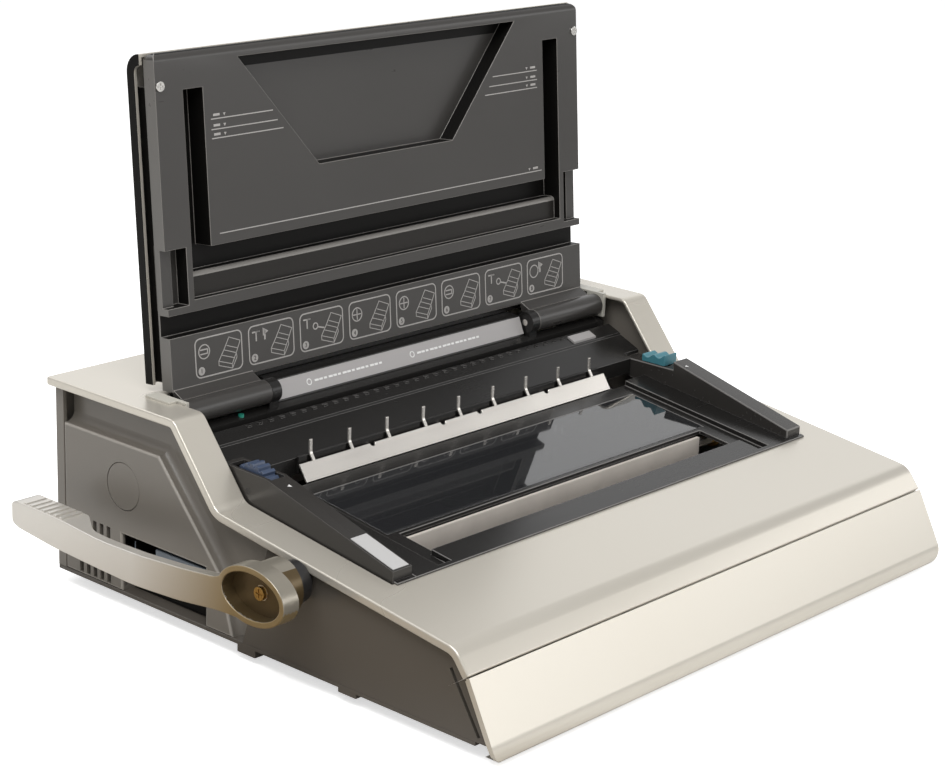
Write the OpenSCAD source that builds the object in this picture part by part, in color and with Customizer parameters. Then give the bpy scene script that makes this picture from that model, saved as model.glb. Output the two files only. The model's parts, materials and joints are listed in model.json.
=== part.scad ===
// Wire binding machine for the desk: a motor punch at the rear of the deck, a wire closer
// worked by the side lever at the front, a chip drawer below and a lid that folds back.
// Built in millimetres. X runs to the right, Y to the rear and Z up from the desk.
// Inside the modules, X = 0 is the machine's middle and Y = 0 lies just behind the lever's axis.

/* [Body] */
// Width across the rims of the top cover
body_w = 490; // [484:1:500]
// Depth from the front panel's lower edge to the rear rim
body_d = 420; // [416:1:430]
// Height of the flat rear top above the desk
rear_h = 149; // [147:0.5:153]
// Wall of the moulded covers
wall = 3; // [2.6:0.1:3.2]
// Height of the floor's underside above the desk
foot_h = 9; // [8:0.25:9.5]

/* [Lid] */
// Length of the lid from its hinge edge to its free edge
lid_h = 222; // [218:1:226]
// Lean of the open lid behind upright
lid_lean = 4.6; // [3:0.2:6]
// Thickness of the lid
lid_t = 24; // [22:0.5:26]

/* [Hooks] */
// Number of wire hooks
hook_count = 9; // [5:2:9]
// Distance between wire hooks
hook_pitch = 36.6; // [34:0.2:37]

/* [Lever] */
// Reach of the lever from its axis to its end
lever_len = 238; // [220:1:246]
// Half the height of the lever's hub
hub_r = 19; // [17:0.5:19.5]
// Thickness of the lever arm
lever_t = 20; // [16:0.5:22]
// Thickness of the arm between the grip and the hub
arm_t = 7; // [6:0.5:9]
// Turn of the lever from rest to fully pulled
lever_swing = 105; // [95:1:108]
// Travel of the closing jaw
jaw_stroke = 10.4; // [9:0.2:11]

/* [Punch] */
// Number of punch pins
pin_count = 34; // [24:2:34]
// Distance between punch pins
pin_pitch = 8.47; // [8:0.01:8.6]
// Diameter of a punch pin
pin_d = 4; // [3:0.1:4.4]
// Travel of the punch pins
punch_stroke = 10; // [8:0.2:11]

/* [Controls] */
// Radius of the size wheel
wheel_r = 18; // [16:0.25:18.5]
// Teeth round the size wheel
wheel_teeth = 20; // [16:1:28]

/* [Fits] */
// Gap between neighbouring covers
gap = 0.3; // [0.2:0.05:0.4]
// Radial clearance of turning and sliding fits
run = 0.08; // [0.05:0.01:0.1]

/* [Hidden] */
$fn = 64;

big = 600;
half_w = body_w / 2;
rear_y = 225;
front_y = rear_y - body_d;
floor_z = foot_h + wall;
front_z = 2;
corner_r = 14;
rim_out = 5;
rim_t = 3;
rim_h = 6;
side_x = half_w - rim_out;
open_x = half_w - 26.5;
open_front = -80.3;
open_rear = 139;

// Side outline of the covers, from the rear rim over the deck to the front panel's foot
p_rear = [rear_y, rear_h];
p_break = [94, rear_h];
p_foot = [52, rear_h - 51.5];
p_nose = [front_y + 37, rear_h - 80];
p_seam = [front_y + 25.5, rear_h - 94.5];
p_knee = [front_y + 4, front_z + 11];
p_toe = [front_y + 4, front_z];
seam = [0.5, 0.9];
knee_lean = atan2(p_seam[0] - p_knee[0], p_seam[1] - p_knee[1]);
knee_r = 4.4 / tan(knee_lean / 2);
toe_r = 6;
p_under = [front_y + 15, front_z];
slope = (p_foot[1] - p_nose[1]) / (p_foot[0] - p_nose[0]);
slope_deg = atan(slope);

// Deck
deck_drop = 2.5;
deck_t = 3;
bar_up = 1.5;
deck_x = open_x - 18;
ledge_x = deck_x - 23.5;
bar_x = ledge_x - 12;
deck_rear = 56;
frame_front = -84;
slot_front = -62.5;
slot_rear = -30;
slot_x = 160;
window_front = -26.5;
window_rear = 41.5;
window_x = 168;
window_t = 1.5;
rail_x0 = deck_x + gap;
rail_x1 = open_x - 0.9;
rail_wall = 2.4;
rail_front = open_front + gap;
rail_rear = 76;
rail_knee = 34;
rail_z0 = rear_h - 62;
rail_z1 = rear_h - 31.7;
rail_z2 = rear_h - 30.5;

// Hooks and punch cover
strip_low = [56.5, rear_h - 53];
strip_top = [64, rear_h - 42];
strip_x = 160;
strip_t = 1.5;
bar_y0 = 67;
bar_y1 = 69.6;
bar_z0 = rear_h - 50;
bar_z1 = rear_h - 38.3;
hook_w = 2.6;
hook_t = 1.3;
hook_foot = 5.6;
hook_tip = 9.2;
cover_x = open_x - 0.6;
cover_path = [[70, rear_h - 51], [70, rear_h - 39.5], [95, rear_h - 28.7], [96, rear_h - 27.2],
    [107.5, rear_h - 22.4], [107.5, rear_h - 36]];
comb_count = 34;
comb_pitch = 10.2;
comb_first = -(comb_count - 1) / 2 * comb_pitch;
throat_path = [[112.5, rear_h - 36.6], [112.5, rear_h - 20.6], [120, rear_h - 18.2],
    [126, rear_h - 4], [open_rear - gap, rear_h - 3]];
throat_x = cover_x - 0.4;
label_x = 130;

// Hinge
hinge_y = 120.5;
hinge_z = rear_h - 8.5;
barrel_r = 8.5;
pin_r = 2.5;
knuckle_x0 = 131.2;
knuckle_x1 = 139.7;
cap_t = 1.5;
lid_x = open_x - 3.9;
lid_y = hinge_y + 12.1;
lid_z = rear_h + 1;
lid_low = 5;
tray_x = lid_x - 3;
tray_t = 10.5;
lid_end = lid_h + 4;

// Closer under the deck
lever_y = -24;
shaft_r = 5;
bush_r = shaft_r + 2.5;
bush_room = 1.6;
lever_z = deck_z(lever_y) - deck_drop - deck_t - bush_r - bush_room;
throw = jaw_stroke / 2 / sin(lever_swing / 2);
ecc_r = 13;
ecc_x0 = rail_x0 + 5;
ecc_x1 = rail_x0 + 11;
yoke_gap = 0.6;
jaw_t = 2.7;
jaw_y0 = -33;
bracket_x0 = deck_x - 16.5;
jaw_x = bracket_x0 - 28;
jaw_sunk = 6;
jaw_top = deck_z(jaw_y0) - jaw_sunk;
jaw_low = lever_z - 20.6;
arm_top = lever_z - 11.1;
fixed_y = -50;
fixed_t = 3;
fixed_top = deck_z(fixed_y - fixed_t) - deck_drop - deck_t - 2.75;
bracket_t = 3;
rod_x = bracket_x0 - 10;
rod_r = 3;
rod_z = (jaw_low + arm_top) / 2;
rod_rear = 8;
tray_front = -12;
bracket_rear = 58;

// Punch behind the throat
punch_z = rear_h - 53;
die_y0 = 103;
slot_y0 = 109;
slot_y1 = 112;
guide_y1 = 118;
plate_z0 = rear_h - 69;
plate_z1 = rear_h - 37;
frame_x = 172;
frame_t = 3;
bar_front = 140;
bar_back = 150;
bar_half = 10;
tongue_half = 6.5;
drive_y = 166;
drive_z = punch_z - 1;
drive_r = 6;
drive_swing = 120;
punch_throw = punch_stroke / 2 / sin(drive_swing / 2);
drive_ecc_r = 14;
yoke_x0 = 120;
yoke_x1 = 128;

// Gears, with a stub tooth and a wide pressure angle
gear_m = 1.8;
gear_n = 44;
pinion_n = 12;
press = 25;
lash = 0.35;
gear_x0 = frame_x + frame_t + 3;
gear_x1 = gear_x0 + 10;
gear_dist = gear_m * (gear_n + pinion_n) / 2 + 0.15;
mesh_deg = -69;
motor_y = drive_y + gear_dist * cos(mesh_deg);
motor_z = drive_z + gear_dist * sin(mesh_deg);
motor_r = 20;
motor_len = 75;

// Drawer under the punch
drawer_y0 = 69;
drawer_y1 = 152;
drawer_z0 = floor_z + 0.6;
drawer_z1 = lever_z - 26.4;
drawer_x0 = -side_x + 10;
drawer_x1 = 160;
drawer_wall = 2;
pull_y = 130;
pull_deep = 18;
runner_h = 16;
runner_t = 2.4;

// Size wheel and slide button on the rails
wheel_y = 52;
wheel_z = rear_h - 44;
axle_r = 2.5;
button_z = rear_h - 39.5;
button_front = 29;
button_y = 38;
button_len = 22;
button_travel = 8;
stem_y = 46;
stem_len = 10;
stem_half = 2;
catch_half = 4.5;

lever_out = side_x + 45;

function left_of(a, b) = let (d = b - a) [-d[1], d[0]] / norm(d);
function mitre(a, b, c, t) = let (m = left_of(a, b), n = left_of(b, c)) b + (m + n) * t / (1 + m * n);
function shifted(p, t) = [for (i = [0:len(p) - 1])
    i == 0 ? p[0] + t * left_of(p[0], p[1])
    : i == len(p) - 1 ? p[i] + t * left_of(p[i - 1], p[i])
    : mitre(p[i - 1], p[i], p[i + 1], t)];
function inset(p, t) = let (n = len(p))
    [for (i = [0:n - 1]) mitre(p[(i + n - 1) % n], p[i], p[(i + 1) % n], t)];
function turned(p) = [for (i = [len(p) - 1:-1:0]) p[i]];
function sheet(p, t) = concat(p, turned(shifted(p, t)));
function wrap(a) = a > 180 ? a - 360 : a < -180 ? a + 360 : a;
function bend(a, b, c, r, n) = let (
    u = (a - b) / norm(a - b),
    v = (c - b) / norm(c - b),
    h = acos(u * v) / 2,
    o = b + (u + v) / norm(u + v) * r / sin(h),
    s = b + u * r / tan(h) - o,
    e = b + v * r / tan(h) - o,
    a0 = atan2(s[1], s[0]),
    da = wrap(atan2(e[1], e[0]) - a0))
    [for (i = [0:n]) o + r * [cos(a0 + da * i / n), sin(a0 + da * i / n)]];
function rounded(p, r, n = 8) = [for (i = [0:len(p) - 1])
    each (i == 0 || i == len(p) - 1 || r[i] == 0 ? [p[i]] : bend(p[i - 1], p[i], p[i + 1], r[i], n))];
function deck_z(y) = p_foot[1] + slope * (y - p_foot[0]);

shell_path = rounded([p_rear, p_break, p_foot, p_nose, p_seam], [0, 9, 12, 16, 0]);
front_path = rounded([p_seam - seam, p_knee, p_toe, p_under], [0, knee_r, toe_r, 0]);
side_path = concat(shell_path, front_path);

// Frame: the box round the whole part is centred on X and Y
front_most = min([for (p = front_path) p[0]]);
shift_x = (lever_out - half_w) / 2;
shift_y = -(rear_y + front_most) / 2;

// Collar of the lever: its neck passes under the rim of the top cover
collar_w = 17;
collar_r = hub_r - 5;
neck_r = (deck_z(lever_y) - lever_z) * cos(slope_deg) - rim_h - gap;

// Places a side outline, drawn as Y across and Z up, between two X positions
module along_x(x0, x1) {
    translate([x0, 0, 0]) rotate([90, 0, 90]) linear_extrude(x1 - x0) children();
}
// Places a piece drawn on the lid: X across, Y up from the hinge edge, Z out of the face
module on_lid() {
    translate([0, lid_y, lid_z]) rotate([90 - lid_lean, 0, 0]) children();
}
module both() {
    children();
    mirror([1, 0, 0]) children();
}
module box(a, b) {
    translate(a) cube(b - a);
}
module pin_x(x0, x1, y, z, r) {
    translate([x0, y, z]) rotate([0, 90, 0]) cylinder(h = x1 - x0, r = r);
}
module pin_y(y0, y1, x, z, r) {
    translate([x, y0, z]) rotate([-90, 0, 0]) cylinder(h = y1 - y0, r = r);
}
module place() {
    translate([shift_x, shift_y, 0]) children();
}

// Covers of the body
base_front = front_y + 23;
skirt_x = side_x - 22;
back_y1 = rear_y - wall - gap;
back_y0 = back_y1 - wall;
return_y = rear_y - 11.5;
foot_y = [front_y + 55, rear_y - 35];
foot_in = 35;
screw_in = 80;
foot_r = 9;
inlet_x = -60;
inlet_z = 40;
inlet_hw = 13;
inlet_hh = 8.5;
inlet_deep = 16;
switch_x = -110;
switch_r = 10;
switch_y = back_y1 - 8.2;
rear_vent_x = 100;
rear_vent_pitch = 9;
vent_w = 4;

module base_pan() {
    color("#4a4744") {
        box([-side_x, base_front, foot_h], [side_x, back_y1, floor_z]);
        box([-skirt_x, front_y + 10.5, front_z + wall], [skirt_x, base_front + 7, floor_z]);
        box([-side_x, -72, foot_h - 3], [-side_x + 8, -56, floor_z]);
        box([-side_x, 20, foot_h - 5], [-side_x + 8, split_foot, floor_z]);
    }
}
module rubber_feet() {
    color("#1b1b1b") both() for (y = foot_y) translate([side_x - foot_in, y, 0])
        cylinder(h = foot_h, r = foot_r);
}
module base_screws() {
    color("#8d8d8a") both() for (y = foot_y) translate([side_x - screw_in, y, foot_h - 1.6]) difference() {
        cylinder(h = 1.6, r = 4);
        translate([-3, -0.5, -1]) cube([6, 1, 1.8]);
    }
}
module top_shell() {
    color("#cfcabb") difference() {
        union() {
            along_x(-half_w, half_w) polygon(sheet(shell_path, wall));
            both() along_x(half_w - rim_t, half_w) polygon(sheet(shell_path, rim_h));
            box([-half_w, rear_y - wall, rear_h - rim_h], [half_w, rear_y, rear_h - 1]);
        }
        box([-open_x, open_front, 0], [open_x, open_rear, big]);
    }
}
module front_panel() {
    along = (p_knee - p_seam) / norm(p_knee - p_seam);
    rim_path = rounded([p_seam + 2 * along, p_knee, p_toe, p_under], [0, knee_r, toe_r, 0]);
    outline = rounded([[-half_w, rear_h], [-half_w, front_z], [half_w, front_z], [half_w, rear_h]],
        [0, corner_r, corner_r, 0]);
    color("#cfcabb") intersection() {
        union() {
            along_x(-half_w, half_w) polygon(sheet(front_path, wall));
            both() along_x(half_w - rim_t, half_w) polygon(sheet(rim_path, rim_h - 2));
        }
        rotate([90, 0, 0]) linear_extrude(big) polygon(outline);
    }
}
module rear_cover() {
    color("#8a857d") difference() {
        union() {
            box([-side_x, back_y0, floor_z], [side_x, back_y1, rear_h - wall - gap]);
            both() box([side_x - wall, return_y, floor_z], [side_x, back_y1, rear_h - wall - gap]);
            for (s = [-1, 1]) translate([switch_x + s * 8.4, back_y0, inlet_z])
                box([-1, -13, -8], [1, 0, 8]);
        }
        box([inlet_x - inlet_hw, back_y0 - 1, inlet_z - inlet_hh],
            [inlet_x + inlet_hw, back_y1 + 1, inlet_z + inlet_hh]);
        box([switch_x - 7, back_y0 - 1, inlet_z - 11], [switch_x + 7, back_y1 + 1, inlet_z + 11]);
        pin_x(switch_x - 10, switch_x + 10, switch_y, inlet_z, 2 + run);
        for (i = [0:7]) translate([rear_vent_x + i * rear_vent_pitch, back_y0 - 1, 60])
            cube([vent_w, wall + 2, 40]);
    }
}

// Sides: a raised pad with a finger channel above it, and a plain front piece
pad = [[42, floor_z], [return_y - gap, floor_z], [return_y - gap, rear_h - 31], [114.5, rear_h - 31],
    [54.5, rear_h - 97]];
channel_x = 12;
cap_y = 150.8;
cap_z = rear_h - 61.5;
cap_r = 17;
split_foot = 37.2;
split_lean = 0.324;
split_gap = 1.5;
vent_y = 165;
vent_pitch = 7.3;

module side_region() {
    inner = shifted(side_path, wall + gap);
    intersection() {
        polygon(concat(inner, [[rear_y, inner[len(inner) - 1][1]]]));
        translate([-big, floor_z]) square([big + return_y - gap, big]);
    }
}
module split_side(y) {
    foot = split_foot + y * split_gap;
    polygon([[y * big, 0], [foot, 0], [foot - split_lean * big, big], [y * big, big]]);
}
module side_vent(i, z, h) {
    y = vent_y + i * vent_pitch;
    box([side_x - wall - 1, y, z], [side_x + 1, y + vent_w, z + h]);
}
module side_panel(drawer) {
    difference() {
        union() {
            difference() {
                along_x(side_x - channel_x, side_x) polygon(pad);
                along_x(side_x - channel_x - 1, side_x - wall) polygon(inset(pad, wall));
            }
            along_x(side_x - channel_x, side_x - channel_x + wall) difference() {
                intersection() {
                    side_region();
                    split_side(1);
                }
                polygon(pad);
            }
        }
        pin_x(side_x - wall - 1, side_x + 1, cap_y, cap_z, cap_r);
        for (i = [0:2]) side_vent(i, rear_h - 104.5, 10);
        for (i = [0:4]) side_vent(i, floor_z + 1.5, 7.5);
        if (drawer) box([side_x - channel_x - 1, drawer_y0 - 1, 0],
            [side_x + 1, drawer_y1 + 1, drawer_z1 + 7]);
    }
}
module left_side() {
    color("#87817a") mirror([1, 0, 0]) side_panel(true);
}
module right_side() {
    color("#87817a") side_panel(false);
}
module front_side(hub) {
    groove = [[front_y + 43.2, rear_h - 95.5], [front_y + 19.1, floor_z + 4]];
    along_x(side_x - wall, side_x) difference() {
        intersection() {
            side_region();
            split_side(-1);
        }
        polygon(sheet(groove, 2.4));
        if (hub) translate([lever_y, lever_z]) circle(neck_r + run);
    }
}
module left_front_side() {
    color("#55504b") mirror([1, 0, 0]) front_side(true);
}
module right_front_side() {
    color("#55504b") front_side(false);
}
module side_caps() {
    color("#7d7771") both() {
        pin_x(side_x - wall, side_x, cap_y, cap_z, cap_r - gap);
        pin_x(side_x - wall - 1.5, side_x - wall, cap_y, cap_z, cap_r + 3);
    }
}

// Deck and what stands on it
module deck_band(y0, y1, up, down) {
    polygon([[y0, deck_z(y0) + down], [y1, deck_z(y1) + down], [y1, deck_z(y1) + up], [y0, deck_z(y0) + up]]);
}
module deck() {
    low = -deck_drop - deck_t;
    profile = [[rail_front, low], [deck_rear, low], [deck_rear, bar_up], [frame_front, bar_up],
        [frame_front, 0], [rail_front, 0]];
    color("#2b2a29") difference() {
        union() {
            along_x(-deck_x, deck_x) polygon([for (p = profile) [p[0], deck_z(p[0]) + p[1]]]);
            along_x(-rail_x1, rail_x1) deck_band(frame_front, open_front, bar_up, 0);
        }
        along_x(-ledge_x, ledge_x) deck_band(slot_front, deck_rear + 1, big, -deck_drop);
        both() along_x(bar_x, ledge_x) deck_band(rail_front, slot_front + 1, big, -deck_drop);
        box([-slot_x, slot_front, 0], [slot_x, slot_rear, big]);
        along_x(-window_x - gap, window_x + gap)
            deck_band(window_front - gap, window_rear + gap, 0, -deck_drop - window_t);
        along_x(-window_x + 5, window_x - 5) deck_band(window_front + 4.5, window_rear - 4.5, 0, low - 1);
    }
}
module window() {
    color("#33363a") along_x(-window_x, window_x)
        deck_band(window_front, window_rear, -deck_drop, -deck_drop - window_t);
}
function rail_top(y) = rail_z0 + (rail_z1 - rail_z0) * (y - rail_front) / (rail_knee - rail_front);
function rail_foot(y) = [y, deck_z(y) - deck_drop - deck_t];
function rail_outline(top) =
    concat([rail_foot(rail_front), rail_foot(rail_rear)], top, [[rail_front, rail_z0]]);
module rail(top) {
    outline = rail_outline(top);
    difference() {
        along_x(rail_x0, rail_x1) polygon(outline);
        along_x(rail_x0 + rail_wall, rail_x1 - rail_wall) {
            polygon(inset(outline, rail_wall));
            translate([0, -rail_wall * 2]) polygon(inset(outline, rail_wall));
        }
    }
}
module left_rail() {
    color("#2b2a29") mirror([1, 0, 0]) difference() {
        rail([[rail_rear, rail_z2], [rail_knee, rail_z1]]);
        box([rail_x0 + rail_wall, wheel_y - wheel_r - 1.5, wheel_z],
            [rail_x1 - rail_wall, wheel_y + wheel_r + 1.5, big]);
        pin_x(rail_x0 - 1, rail_x1 + 1, wheel_y, wheel_z, axle_r);
    }
}
button_mid = (rail_x0 + rail_x1) / 2;
module right_rail() {
    color("#2b2a29") difference() {
        rail([[rail_rear, button_z], [button_front, button_z], [button_front, rail_top(button_front)]]);
        box([button_mid - stem_half - gap, stem_y - button_travel - gap, button_z - 4],
            [button_mid + stem_half + gap, stem_y + stem_len + gap, big]);
    }
}
module rail_label() {
    face = [[-41, rail_top(-41)], [rail_front + 1.5, rail_top(rail_front + 1.5)]];
    color("#c9c8c4") along_x(-rail_x1 + 1.5, -rail_x0 - 1.5) polygon(sheet(face, -0.5));
}
module size_wheel() {
    tooth = 360 / wheel_teeth;
    rim = [for (i = [0:wheel_teeth - 1]) each [for (k = [[-0.42, -2.2], [-0.2, 0], [0.2, 0], [0.42, -2.2]])
        on_circle(wheel_r + k[1], (i + k[0]) * tooth)]];
    side = rail_wall + 2 * gap;
    color("#46556e") along_x(-rail_x1 + side, -rail_x0 - side) translate([wheel_y, wheel_z]) difference() {
        polygon(rim);
        circle(axle_r + run);
    }
}
module wheel_axle() {
    color("#b9b9b6") pin_x(-rail_x1, -rail_x0, wheel_y, wheel_z, axle_r);
}
module slide_button() {
    steps = 24;
    button_end = button_y + button_len;
    wave = [for (i = [0:steps])
        [button_end - button_len * i / steps, button_z + 4.6 + 3 * i / steps + 1.3 * cos(i * 30)]];
    under = button_z - rail_wall;
    color("#4f9fb0") {
        along_x(rail_x0 + 0.8, rail_x1 - 0.8)
            polygon(concat([[button_y, button_z + gap], [button_end, button_z + gap]], wave));
        box([button_mid - stem_half, stem_y, under - 3],
            [button_mid + stem_half, stem_y + stem_len, button_z + 1]);
        box([button_mid - catch_half, stem_y - 1, under - 3],
            [button_mid + catch_half, stem_y + stem_len + 1, under - gap]);
    }
}
module hook_plate() {
    lean = atan2(strip_top[1] - strip_low[1], strip_top[0] - strip_low[0]);
    color("#d9d8d4") difference() {
        along_x(-strip_x, strip_x) polygon(sheet([strip_low, strip_top], -strip_t));
        for (x = [-91, -20, 18.5, 92.6]) translate([x, strip_top[0], strip_top[1]]) rotate([lean, 0, 0])
            cylinder(h = 10, r = 2.5, center = true);
    }
}
module at_hooks() {
    first = -(hook_count - 1) / 2;
    for (i = [0:hook_count - 1]) translate([(first + i) * hook_pitch, 0, 0]) children();
}
module hook_bar() {
    color("#2b2a29") difference() {
        box([-strip_x + 2, bar_y0, bar_z0], [strip_x - 2, bar_y1, bar_z1]);
        at_hooks() box([-hook_w - 1.4, bar_y0 - 1, bar_z1 - 6], [hook_w - 0.4, bar_y1 + 1, bar_z1 + 1]);
    }
}
module wire_hooks() {
    lean = (strip_top - strip_low) / norm(strip_top - strip_low);
    bent = strip_top + hook_foot * lean;
    tongue = rounded([strip_top, bent, bent + [0, hook_tip]], [0, 4, 0]);
    color("#d9d8d4") at_hooks() along_x(-hook_w / 2, hook_w / 2) polygon(sheet(tongue, -hook_t));
}
cover_t = 2.5;
button_y0 = 97.5;
button_y1 = 104.5;
light_x = -165.5;
light_y = 116;
press_x0 = 164;
press_x1 = 190;
module punch_cover() {
    color("#2b2a29") difference() {
        union() {
            along_x(-cover_x, cover_x) polygon(sheet(cover_path, -cover_t));
            for (i = [0:comb_count - 1]) translate([comb_first + i * comb_pitch, 104, rear_h - 25.5])
                translate([-1.7, 0, 0]) cube([3.4, 3.5, 2.9]);
        }
        both() box([rail_x0 - gap, 60, 0], [big, rail_rear + gap, big]);
        box([press_x0 - gap, button_y0 - gap, rear_h - 32], [press_x1 + gap, button_y1 + gap, big]);
    }
}
module status_light() {
    color("#3fae6a") translate([light_x, light_y, rear_h - 25]) cylinder(h = 7, r = 2);
}
module punch_button() {
    rise = tan(22.7) * (button_y1 - button_y0);
    color("#8f8d8a") {
        along_x(press_x0, press_x1) polygon([[button_y0, rear_h - 33], [button_y1, rear_h - 33],
            [button_y1, rear_h - 25.2 + rise], [button_y0, rear_h - 25.2]]);
        box([press_x0 - 2, button_y0 - 1.5, rear_h - 34], [press_x1 + 2, button_y1 + 0.2, rear_h - 32]);
    }
}
module throat_wall() {
    lower = [throat_path[0], throat_path[1], throat_path[2]];
    color("#242322") {
        along_x(-label_x, label_x) polygon(sheet(throat_path, -cover_t));
        difference() {
            along_x(-throat_x, throat_x) polygon(sheet(lower, -cover_t));
            translate([light_x, light_y, rear_h - 25]) cylinder(h = 10, r = 2);
        }
        both() difference() {
            union() {
                pin_x(knuckle_x0, knuckle_x1, hinge_y, hinge_z, barrel_r);
                box([knuckle_x0, hinge_y - 5, rear_h - 21], [knuckle_x1, hinge_y + 4, hinge_z]);
            }
            pin_x(knuckle_x0 - 1, knuckle_x1 + 1, hinge_y, hinge_z, pin_r);
        }
    }
}
module label_plate() {
    face = [throat_path[2] * 0.93 + throat_path[3] * 0.07, throat_path[2] * 0.05 + throat_path[3] * 0.95];
    color("#a5a3a3") along_x(-label_x + 0.5, label_x - 0.5) polygon(sheet(face, 0.8));
}
cap_x0 = open_x - gap - 3;
module hinge_caps() {
    color("#b9b6ac") both() difference() {
        union() {
            box([cap_x0, hinge_y - 8.5, hinge_z - 9], [open_x - gap, hinge_y + 8.5, rear_h + cap_t]);
            box([cap_x0, hinge_y, rear_h], [open_x + 7, hinge_y + 24, rear_h + cap_t]);
        }
        pin_x(cap_x0 - 1, open_x + 1, hinge_y, hinge_z, pin_r);
    }
}
module hinge_pins() {
    color("#b9b9b6") both() pin_x(knuckle_x0, open_x - gap, hinge_y, hinge_z, pin_r);
}

// Wire closer: the lever's shaft carries two eccentrics that push the jaw's forks
ecc_y = lever_y + throw * sin(lever_swing / 2);
ecc_z = lever_z + throw * cos(lever_swing / 2);
fork_y0 = ecc_y - ecc_r - yoke_gap;
fork_y1 = ecc_y + ecc_r + yoke_gap;
fork_t = 4;
arm_y0 = fork_y0 - fork_t;
module fixed_jaw() {
    color("#c4c3bf") difference() {
        box([-bracket_x0, fixed_y - fixed_t, jaw_low - 2], [bracket_x0, fixed_y, fixed_top]);
        both() pin_y(fixed_y - fixed_t - 1, fixed_y + 1, rod_x, rod_z, rod_r);
    }
}
module closing_jaw() {
    color("#d9d8d4") difference() {
        union() {
            box([-jaw_x, jaw_y0, jaw_low], [jaw_x, jaw_y0 + jaw_t, jaw_top]);
            both() box([jaw_x - 4, arm_y0, jaw_low], [ecc_x1 - 1, jaw_y0 + jaw_t, arm_top]);
            both() box([ecc_x0 + 1, arm_y0, jaw_low], [ecc_x1 - 1, fork_y1 + fork_t, arm_top]);
            both() for (y = [arm_y0, fork_y1])
                box([ecc_x0 + 1, y, jaw_low], [ecc_x1 - 1, y + fork_t, lever_z + ecc_r]);
        }
        both() pin_y(arm_y0 - 1, jaw_y0 + jaw_t + 1, rod_x, rod_z, rod_r + run);
    }
}
module bracket() {
    top = -deck_drop - deck_t - gap;
    front = fixed_y - 2 * fixed_t;
    back = bracket_rear - 4;
    difference() {
        union() {
            along_x(bracket_x0, bracket_x0 + bracket_t) polygon([[front, floor_z], [bracket_rear, floor_z],
                [back, deck_z(back) + top], [front, deck_z(front) + top]]);
            box([rod_x - 8, rod_rear - 3, rod_z - 6], [bracket_x0 + 1, rod_rear, rod_z + 5]);
        }
        pin_x(bracket_x0 - 1, bracket_x0 + bracket_t + 1, lever_y, lever_z, bush_r);
        pin_y(rod_rear - 4, rod_rear + 1, rod_x, rod_z, rod_r);
        box([bracket_x0 - 1, arm_y0 - jaw_stroke - 1, jaw_low - 1],
            [bracket_x0 + bracket_t + 1, jaw_y0 + jaw_t + 1, arm_top + 1]);
    }
}
module left_bracket() {
    color("#9b9a97") mirror([1, 0, 0]) bracket();
}
module right_bracket() {
    color("#9b9a97") bracket();
}
module guide_rods() {
    color("#c9c8c4") both() pin_y(fixed_y - fixed_t, rod_rear, rod_x, rod_z, rod_r);
}
module shaft_bushes() {
    color("#b08d4a") both() difference() {
        pin_x(bracket_x0 - 2, bracket_x0 + bracket_t + 3, lever_y, lever_z, bush_r);
        pin_x(bracket_x0 - 3, bracket_x0 + bracket_t + 4, lever_y, lever_z, shaft_r + run);
    }
}
tray_z = lever_z - 10.6;
board_x = 70;
board_y0 = -6;
board_y1 = 44;
module inner_tray() {
    color("#1f1f1f") box([-bracket_x0, tray_front, tray_z], [bracket_x0, deck_rear - 2, tray_z + 2]);
}
module control_board() {
    color("#2f6b3c") {
        box([-board_x, board_y0, tray_z + 6], [board_x, board_y1, tray_z + 7.6]);
        for (x = [-board_x + 6, board_x - 6], y = [board_y0 + 6, board_y1 - 6])
            translate([x, y, tray_z + 2]) cylinder(h = 4.5, r = 3);
        box([-56, 12, tray_z + 7], [-30, 38, tray_z + 18]);
        box([8, 2, tray_z + 7], [30, 14, tray_z + 10]);
        for (x = [40, 52]) translate([x, 28, tray_z + 7]) cylinder(h = 11, r = 4.5);
    }
}
module lever_shaft() {
    color("#c9c8c4") pin_x(-lever_out + dish_deep, ecc_x1 + 1, lever_y, lever_z, shaft_r);
}
lever_end = lever_y + lever_len;
hub_long = 11;
dish_edge = 4;
dish_deep = 10;
hub_face = dish_deep + 3;
grip_len = 58;
grip_end = 78;
hub_in = -side_x - collar_w - gap;
function from_hub(y, z) = [lever_y + y, lever_z + z];
function from_end(y, z) = [lever_end - y, lever_z + z];
module hub_shape(x0, x1, r) {
    along_x(x0, x1) translate([lever_y, lever_z]) scale([1 + hub_long / r, 1]) circle(r);
}
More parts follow.
